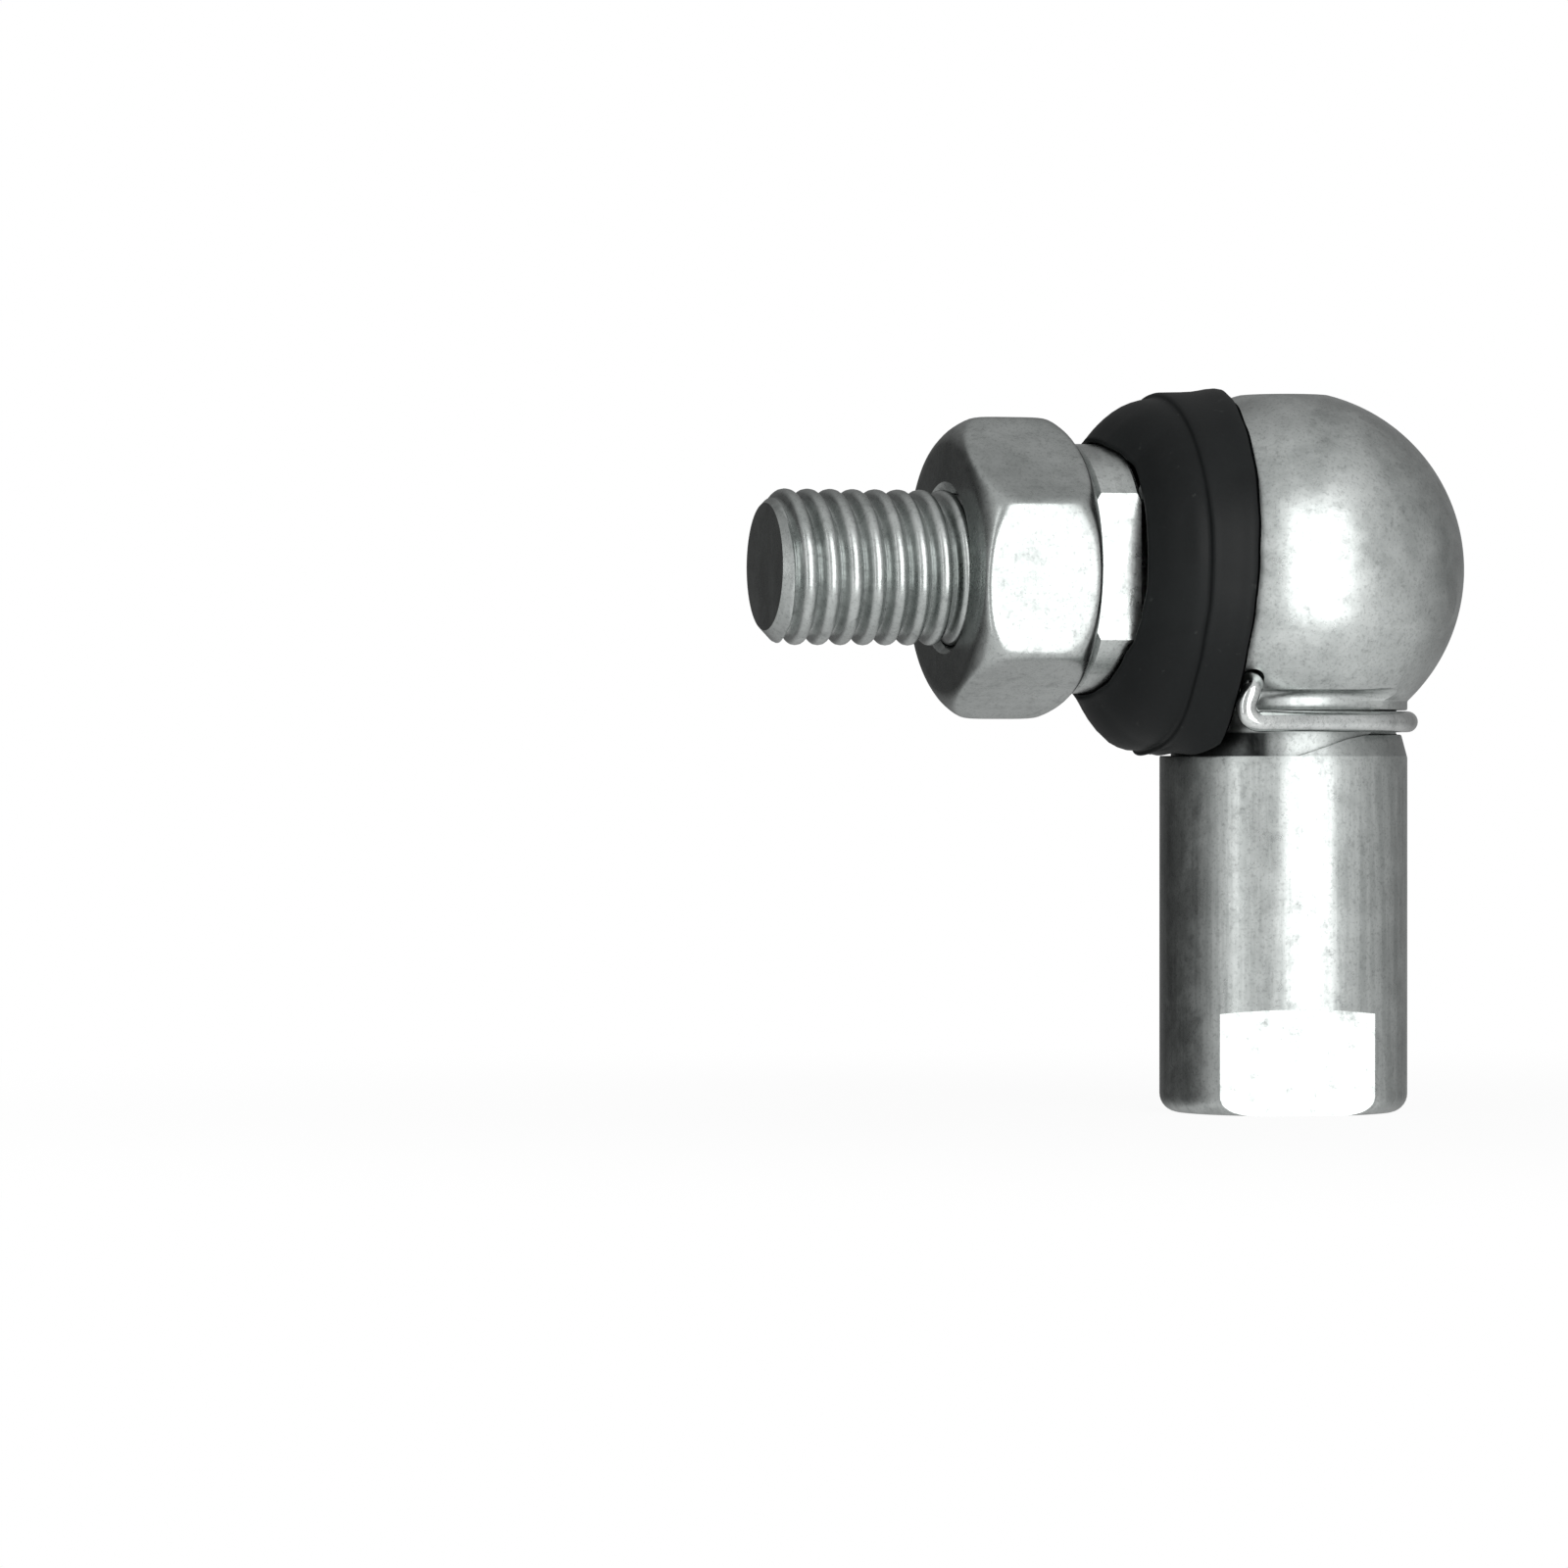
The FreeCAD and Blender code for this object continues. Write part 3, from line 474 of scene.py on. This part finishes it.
def nut_piece():
    """Hexagon nut with rounded corners and a threaded hole."""
    face_radius = 7.4
    form = Drawing(*along_stud(NUT_START, 0)).line(along_stud(NUT_START, face_radius))
    form.line(*(along_stud(NUT_START + depth, r) for depth, r in NUT_CORNER))
    form.line(*(along_stud(NUT_END - depth, r) for depth, r in reversed(NUT_CORNER)))
    form.line(along_stud(NUT_END, face_radius), along_stud(NUT_END, 0))
    blank = form.turned(BALL, (1, 0, 0), 288)

    # Draws the round blank in to the hexagon, rounded where two of its limits meet
    rounding = 0.15
    for vert in blank.verts:
        across = Vector((0, vert.co.y, vert.co.z - BALL.z))
        if across.length < face_radius + 0.1:
            continue
        facing = math.atan2(across.z, -across.y) + math.radians(NUT_TURN)
        limits = [NUT_KEY / 2 / max(math.cos(facing - math.radians(side)), 0.1) for side in range(0, 360, 60)]
        limits.append(across.length)
        nearest = min(limits)
        shares = sum(math.exp((nearest - limit) / rounding) for limit in limits)
        across *= (nearest - rounding * math.log(shares)) / across.length
        vert.co = (vert.co.x, across.y, BALL.z + across.z)
    body = as_object("nut", closed(blank))

    # The thread's hole stands a little clear of the stud's thread
    hole_root, hole_crest, mouth_radius, beyond = 4.28, 5.06, 5.5, 0.6
    tap = threaded_rod(hole_root, hole_crest, NUT_START - beyond, NUT_END + beyond,
                       lambda s, r: max(r, mouth_radius - (s - NUT_START), mouth_radius - (NUT_END - s)))
    return combined(body, tap)


def clip_piece():
    """Spring wire: hook, straight leg through the head, stem, and the wrap round the waist."""
    hook_end = BALL + Vector((-LEG_FRONT, HOOK_REACH, -LEG_DROP - HOOK_LENGTH))
    wire = Pipe(hook_end, (0, 0, 1), WIRE_RADIUS)
    wire.straight(HOOK_LENGTH - WIRE_BEND).bend((1, 0, 0), 90, WIRE_BEND)

    stem = Vector((-STEM_LEAN, 0, LEG_DROP - WRAP_DROP))
    down = stem.normalized()
    wire.straight(HOOK_REACH + STEM_REACH - 2 * WIRE_BEND)
    wire.bend(Vector((0, -1, 0)).cross(down), 90, WIRE_BEND)

    # From the stem's foot straight to where the wire first touches its wrap
    foot = Vector((-LEG_FRONT - STEM_LEAN, -STEM_REACH, 0))
    touch = math.atan2(foot.y, foot.x) + math.acos(WRAP_RADIUS / foot.length)
    target = Vector((math.cos(touch), math.sin(touch), 0)) * WRAP_RADIUS
    ahead = (target - foot).normalized()
    elbow = down.angle(ahead)
    run_up = WIRE_BEND * math.tan(elbow / 2)
    wire.straight(stem.length - WIRE_BEND - run_up)
    wire.bend(down.cross(ahead), math.degrees(elbow), WIRE_BEND)
    wire.straight((target - foot).length - run_up)
    wire.bend((0, 0, 1), math.degrees(math.radians(WRAP_TURN) - touch), WRAP_RADIUS, 64)
    return as_object("clip", wire.capped(0.12))


def boot_piece():
    """Rubber boot, pushed aside by the clip and the neck and drawn over the collar's flats."""
    rim_drawn, crease_drawn, lip_drawn = 4.45, 8.62, 13.4
    rim_inside, rim_round, rim_outside = 10.90, 0.3, 11.22
    form = Drawing(*along_stud(rim_drawn, rim_inside)).line(along_stud(rim_drawn, rim_outside))
    form.arc(along_stud(rim_drawn + rim_round, rim_outside), -55, 5)
    form.line(*(along_stud(s, r) for s, r in BOOT_BEAD + BOOT_DOME + BOOT_INSIDE))
    inside_end, inside_radius = BOOT_INSIDE[-1]
    turn = math.atan2(inside_radius, inside_end) - math.atan2(rim_inside, rim_drawn)
    form.arc(along_stud(0, 0), math.degrees(turn), 6)
    mesh = form.turned(BALL, (1, 0, 0), 180)

    neck_clear, rim_reach, belt_width = 8.3, 11.9, 1.6
    shoulder_bulge, stem_bulge, tuck = 0.75, 0.55, 0.45
    for vert in mesh.verts:
        s, y, z = -vert.co.x, vert.co.y, vert.co.z - BALL.z
        radius = math.hypot(y, z)
        around = math.degrees(math.atan2(abs(y), z))
        low = 180 - around

        # Rim, crease and lip each to their place, clear of the neck, and the rest in proportion
        rim = marked(BOOT_RIM, around)
        if low < 45:
            aside = rim_reach * math.sin(math.radians(low))
            rim = max(rim, math.sqrt(max(neck_clear ** 2 - aside ** 2, 0)))
        crease = max(marked(BOOT_CREASE, around), rim + belt_width)
        if s < crease_drawn:
            s = rim + (s - rim_drawn) * (crease - rim) / (crease_drawn - rim_drawn)
        else:
            s = crease + (s - crease_drawn) * (marked(BOOT_LIP, around) - crease) / (lip_drawn - crease_drawn)

        # Out over the neck's shoulder and round the wire's stem, and in again at the lowest rim
        beside = smooth_step(8, 22, low) * (1 - smooth_step(24, 46, low))
        radius += shoulder_bulge * (1 - smooth_step(20, 75, low)) * smooth_step(13.6, 11.2, s)
        radius += stem_bulge * beside * smooth_step(9.5, 7.5, s)
        radius -= tuck * (1 - smooth_step(5, 40, low)) * smooth_step(10.5, 8.5, s)
        side = math.copysign(math.sin(math.radians(around)), y)
        vert.co = (-s, radius * side, BALL.z + radius * math.cos(math.radians(around)))
    return as_object("boot", closed(mesh))


# Shaders

class Socket:
    """A socket of a shader. Sums on it add their own Math nodes."""

    def __init__(self, tree, link=None):
        self.tree = tree
        self.link = link

    def node(self, kind, settings, sockets, output=0):
        """Any node: its settings first, then the values or links of its sockets."""
        made = self.tree.nodes.new("ShaderNode" + kind)
        for name, value in settings.items():
            setattr(made, name, value)
        for name, value in sockets.items():
            if isinstance(value, Socket):
                self.tree.links.new(value.link, made.inputs[name])
            else:
                made.inputs[name].default_value = value
        return Socket(self.tree, made.outputs[output])

    def math(self, operation, *values):
        return self.node("Math", {"operation": operation}, dict(enumerate(values)))

    def __add__(self, other):
        return self.math("ADD", self, other)

    __radd__ = __add__

    def __sub__(self, other):
        return self.math("SUBTRACT", self, other)

    def __rsub__(self, other):
        return self.math("SUBTRACT", other, self)

    def __mul__(self, other):
        return self.math("MULTIPLY", self, other)

    __rmul__ = __mul__

    def dot(self, other):
        """How far this vector reaches along another."""
        return self.node("VectorMath", {"operation": "DOT_PRODUCT"}, {0: self, 1: other}, "Value")

    def noise(self, scale, detail=4.0, roughness=0.55, distortion=0.0):
        """Noise on these coordinates."""
        return self.node("TexNoise", {}, {
            "Vector": self, "Scale": scale, "Detail": detail, "Roughness": roughness,
            "Distortion": distortion})

    def between(self, low, high, to_low=0.0, to_high=1.0):
        """The part of this value from low to high, smoothly."""
        return self.node("MapRange", {"interpolation_type": "SMOOTHSTEP"}, {
            "Value": self, "From Min": low, "From Max": high, "To Min": to_low, "To Max": to_high})

    def mixed(self, first, second):
        """A colour from first to second as this value goes from 0 to 1."""
        return self.node("Mix", {"data_type": "RGBA"}, {"Factor": self, 6: first, 7: second}, 2)

    def stretched(self, scale):
        """These coordinates, drawn out unevenly."""
        return self.node("Mapping", {}, {"Vector": self, "Scale": scale})


def new_material(name):
    """A material with its Principled shader, and a start for its other nodes."""
    material = bpy.data.materials.new(name)
    material.use_nodes = True
    tree = material.node_tree
    return material, tree.nodes["Principled BSDF"], Socket(tree)


def set_sockets(shader, **values):
    tree = shader.id_data
    for name, value in values.items():
        target = shader.inputs[name.replace("_", " ")]
        if isinstance(value, Socket):
            tree.links.new(value.link, target)
        else:
            target.default_value = value


# Camera's directions, and heights on the housing, in metres
TURN, RISE = math.radians(16.75), math.radians(0.25)
RIGHT = Vector((math.cos(TURN), -math.sin(TURN), 0))
NECK_TOP = 0.0232
GAP_BOTTOM, GAP_TOP = 0.02292, 0.02462


def streaked_neck(place, cloud, tone):
    """Fine streaks along the neck, because it is drawn bar; the head keeps its own tone."""
    neck = place.node("SeparateXYZ", {}, {"Vector": place}, "Z").between(0.0215, NECK_TOP, 1.0, 0.0)
    streaks = place.stretched((1500.0, 1500.0, 90.0)).noise(1.0, 4.0, 0.65)
    drawn = 0.12 + streaks.between(0.35, 0.65) * 0.5 + cloud.between(0.34, 0.66) * 0.25
    return tone + neck * (drawn - tone)


def painted_gap_shade(place, cloud, shade):
    """Painted shade in the gap between the wire and the shoulder, most of it under the boot."""
    height = place.node("SeparateXYZ", {}, {"Vector": place}, "Z")
    gap_shade = height.between(GAP_BOTTOM, GAP_BOTTOM + 0.00012)
    gap_shade = gap_shade * height.between(GAP_TOP - 0.0002, GAP_TOP, 1.0, 0.0)
    gap_shade = gap_shade * place.dot(RIGHT).between(-0.0018, -0.0011, 0.93, 0.3) * (0.75 + cloud * 0.5)
    # Near black: painted shade standing in for the boot's shadow and dark reflection in the gap
    return gap_shade.mixed(shade, (0.012, 0.013, 0.013, 1))


def plated_steel(name, dark, light, rough, marks, depth=1.0, housing=False):
    """Bright zinc plate: cloudy and speckled, with faint tool marks left under it."""
    material, shader, start = new_material(name)
    place = start.node("TexCoord", {}, {}, "Object")
    cloud = place.noise(330.0, 5.0, 0.62, 0.5)
    patch = place.noise(110.0, 3.0, 0.55, 0.8)
    speck = place.noise(5200.0, 3.0, 0.65)
    grain = place.noise(1100.0, 6.0, 0.7)
    lines = place.stretched(marks).noise(1.0, 4.0, 0.7)

    tone = cloud.between(0.34, 0.66) * 0.4 + patch.between(0.34, 0.66) * 0.4 + lines.between(0.3, 0.7) * 0.2
    if housing:
        tone = streaked_neck(place, cloud, tone)
    shade = tone.mixed((*dark, 1), (*light, 1))
    dull = speck.between(0.5, 0.68) * 0.34 + grain.between(0.5, 0.72) * 0.34
    shade = dull.mixed(shade, (*(0.45 * value for value in dark), 1))
    # Painted shade darkens the base colour in the gap between the wire and the shoulder
    if housing:
        shade = painted_gap_shade(place, cloud, shade)

    low, high = rough
    roughness = low + (high - low) * (cloud.between(0.3, 0.7) * 0.5 + grain.between(0.35, 0.7) * 0.5)
    relief = speck * 0.3 + grain * 0.9 + lines * 0.5
    bump = start.node("Bump", {}, {"Height": relief, "Strength": 0.5, "Distance": 0.00002 * depth})
    set_sockets(shader, Base_Color=shade, Metallic=1.0, Roughness=roughness, Normal=bump)
    return material


def boot_rubber():
    """Moulded black rubber: satin, with a faint bloom, fine grain and a little dust."""
    material, shader, start = new_material("boot_rubber")
    place = start.node("TexCoord", {}, {}, "Object")
    bloom = place.noise(120.0, 4.0, 0.6, 0.7)
    grain = place.noise(3200.0, 3.0, 0.6)
    dust = place.noise(1500.0, 2.0, 0.5)
    tone = bloom.between(0.35, 0.7) * 0.8 + grain.between(0.4, 0.65) * 0.2
    shade = tone.mixed((0.0045, 0.0056, 0.0058, 1), (0.009, 0.0105, 0.0108, 1))
    shade = (dust.between(0.68, 0.78) * 0.35).mixed(shade, (0.045, 0.048, 0.046, 1))
    roughness = 0.4 + bloom.between(0.3, 0.7) * 0.12 + grain * 0.08
    bump = start.node("Bump", {}, {"Height": grain, "Strength": 0.3, "Distance": 0.00003})
    set_sockets(shader, Base_Color=shade, Roughness=roughness, Normal=bump, Specular_IOR_Level=0.16)
    return material


steel_head = plated_steel("plated_head", (0.33, 0.351, 0.344), (0.55, 0.575, 0.565), (0.24, 0.46),
                          (260.0, 260.0, 900.0), housing=True)
steel_stud = plated_steel("plated_stud", (0.31, 0.33, 0.323), (0.55, 0.575, 0.565), (0.22, 0.4),
                          (2600.0, 160.0, 160.0))
steel_nut = plated_steel("plated_nut", (0.31, 0.33, 0.323), (0.47, 0.492, 0.484), (0.22, 0.38),
                         (160.0, 1500.0, 1500.0))
steel_wire = plated_steel("plated_wire", (0.42, 0.44, 0.435), (0.68, 0.7, 0.69), (0.1, 0.2),
                          (500.0, 500.0, 500.0), depth=0.5)
rubber = boot_rubber()

# Pieces: the rigid ones each on the body that it rides with, the boot left where it is drawn

housing = finished(housing_piece(), steel_head)
stud = finished(stud_piece(), steel_stud)
nut = finished(nut_piece(), steel_nut)
clip = finished(clip_piece(), steel_wire)
boot = finished(boot_piece(), rubber, 50)

for piece, node, body, slot in (
        (housing, "socket_housing", "housing", "plated_steel"),
        (clip, "retaining_clip", "housing", "spring_wire"),
        (stud, "ball_stud", "stud", "plated_steel"),
        (nut, "hex_nut", "nut", "plated_steel")):
    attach(piece, body)
    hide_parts(node)

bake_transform(boot)
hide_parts("sealing_boot")

# Studio

scene = bpy.context.scene


def direction(azimuth, height):
    """A direction from the object, its azimuth counted from the front towards the right."""
    side, up = math.radians(azimuth), math.radians(height)
    return Vector((math.sin(side) * math.cos(up), -math.cos(side) * math.cos(up), math.sin(up)))


def pale_floor():
    """Pale floor that keeps a faint shadow near the object and is plain white farther off."""
    ground = bmesh.new()
    bmesh.ops.create_grid(ground, x_segments=1, y_segments=1, size=3)
    floor = as_object("floor", ground)
    floor.visible_glossy = False
    material, shader, start = new_material("pale_floor")
    set_sockets(shader, Base_Color=(0.9, 0.9, 0.9, 1), Roughness=0.8)
    place = start.node("TexCoord", {}, {}, "Object")
    away = place.node("VectorMath", {"operation": "LENGTH"}, {0: place}, "Value")
    camera_ray = start.node("LightPath", {}, {}, "Is Camera Ray")
    white = camera_ray * away.between(0.02, 0.12, 0.93, 1.0)
    glow = start.node("Emission", {}, {"Color": (1, 1, 1, 1), "Strength": 1.0})
    lit = Socket(start.tree, shader.outputs[0])
    surface = start.node("MixShader", {}, {0: white, 1: lit, 2: glow})
    start.tree.links.new(surface.link, start.tree.nodes["Material Output"].inputs[0])
    floor.data.materials.append(material)
    return floor


def studio_world():
    """White for the camera and through glass; metal sees a pale room that shades off behind."""
    world = bpy.data.worlds.new("studio")
    world.use_nodes = True
    sky = Socket(world.node_tree)
    camera_ray = sky.node("LightPath", {}, {}, "Is Camera Ray")
    glass_ray = sky.node("LightPath", {}, {}, "Is Transmission Ray")
    glossy_ray = sky.node("LightPath", {}, {}, "Is Glossy Ray")
    aim = sky.node("TexCoord", {}, {}, "Generated")

    def towards(azimuth, height, low, high):
        """How much a direction points at a place round the studio, from 0 to 1."""
        return aim.dot(direction(azimuth, height)).between(low, high)

    # Pale in front, with more light from above and below, and darker behind on the stud's side
    room = 0.28 + towards(-10, 0, -0.8, 0.75) * 0.57
    room = room + towards(0, 90, 0.5, 0.95) * 0.15 + towards(0, -90, 0.05, 0.7) * 0.35
    room = room * (1 - towards(-130, 0, 0.7, 0.92) * 0.75) * (1 - towards(-172, 0, 0.88, 0.98) * 0.5)
    seen = camera_ray + glass_ray
    level = seen + (1 - seen) * (glossy_ray * room + (1 - glossy_ray) * 0.5)
    back = world.node_tree.nodes["Background"]
    back.inputs["Color"].default_value = (1, 1, 1, 1)
    world.node_tree.links.new(level.link, back.inputs["Strength"])
    return world


def soft_lamp(name, azimuth, height, size, power):
    """A soft box that faces the object."""
    middle, distance = Vector((-0.008, 0, 0.03)), 0.6
    data = bpy.data.lights.new(name, "AREA")
    data.shape = "RECTANGLE"
    data.size, data.size_y = size
    data.energy = power
    lamp = bpy.data.objects.new(name, data)
    scene.collection.objects.link(lamp)
    away = direction(azimuth, height)
    lamp.location = middle + away * distance
    lamp.rotation_mode = "QUATERNION"
    lamp.rotation_quaternion = away.to_track_quat("Z", "Y")


def turned_camera():
    """Camera near the height of the neck's top, turned towards the stud's end."""
    distance, view_width, sensor_width = 0.5, 0.1014, 36
    shift_left, shift_down = 0.03229, 0.01382
    toward = direction(-math.degrees(TURN), math.degrees(RISE))
    above = toward.cross(RIGHT)
    data = bpy.data.cameras.new("camera")
    data.sensor_width = sensor_width
    data.lens = sensor_width * distance / view_width
    data.clip_start = 0.05
    camera = bpy.data.objects.new("camera", data)
    scene.collection.objects.link(camera)
    camera.location = BALL * 0.001 - RIGHT * shift_left - above * shift_down + toward * distance
    camera.rotation_mode = "QUATERNION"
    camera.rotation_quaternion = toward.to_track_quat("Z", "Y")
    return camera


floor = pale_floor()
scene.world = studio_world()
soft_lamp("front_box", 4, 4, (0.46, 0.88), 3.6)
soft_lamp("left_strip", -63, 4, (0.11, 0.7), 0.45)
scene.camera = turned_camera()
scene.view_settings.view_transform = "Standard"
